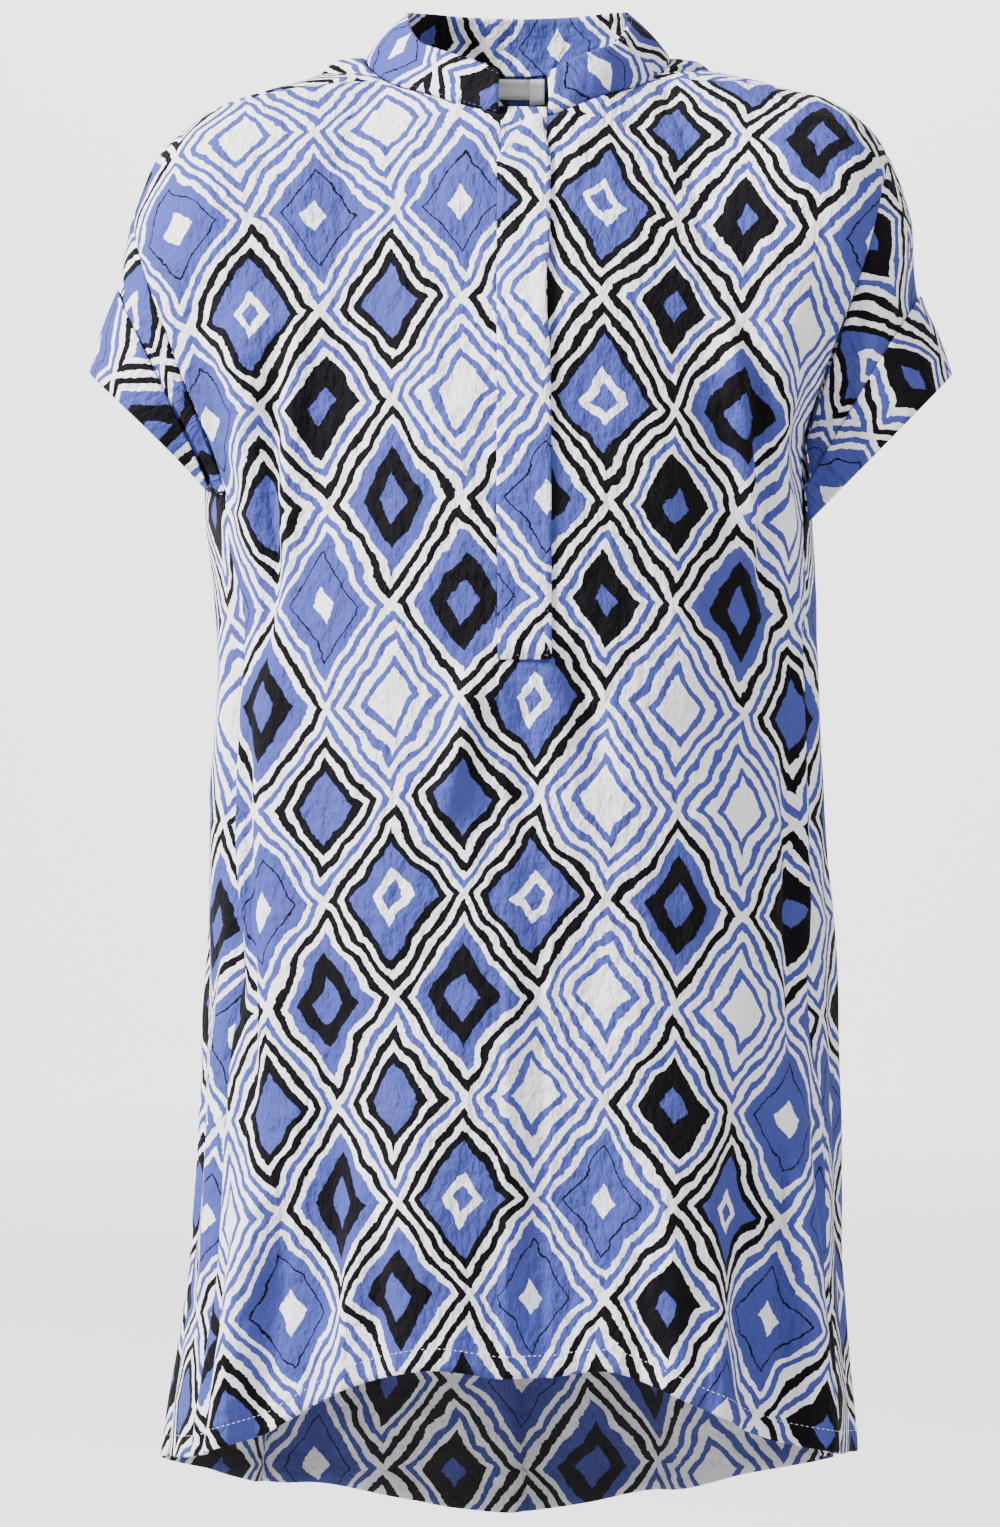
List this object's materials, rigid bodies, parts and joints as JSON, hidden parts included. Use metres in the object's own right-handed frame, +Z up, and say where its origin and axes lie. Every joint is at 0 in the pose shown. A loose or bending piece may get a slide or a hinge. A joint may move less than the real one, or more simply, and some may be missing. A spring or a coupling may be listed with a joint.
{
  "type": "tunic top",
  "caption": "Loose hip-length tunic top with a low band collar, a half placket, short dropped sleeves with turned-up cuffs and a hem that dips at the back.",
  "frame": {"origin": "between the shoulders, at the foot of the neck, where the garment is held up when it is worn", "axes": "+X to the wearer's left, +Y to the back, +Z up; the front faces -Y"},
  "size_m": [0.5169, 0.27, 0.9237],
  "materials": {
    "printed_crepe": "matt, thin crinkled crepe with a hand-drawn print in blue and near-black on off-white",
    "label_satin": "smooth grey-white label tape"
  },
  "bodies": {
    "root": {"front": "printed_crepe", "back": "printed_crepe", "collar": "printed_crepe", "placket_upper": "printed_crepe", "placket_under": "printed_crepe", "sleeve_left": "printed_crepe", "sleeve_right": "printed_crepe", "cuff_left": "printed_crepe", "cuff_right": "printed_crepe", "neck_label": "label_satin", "size_label": "label_satin"}
  },
  "joints": []
}
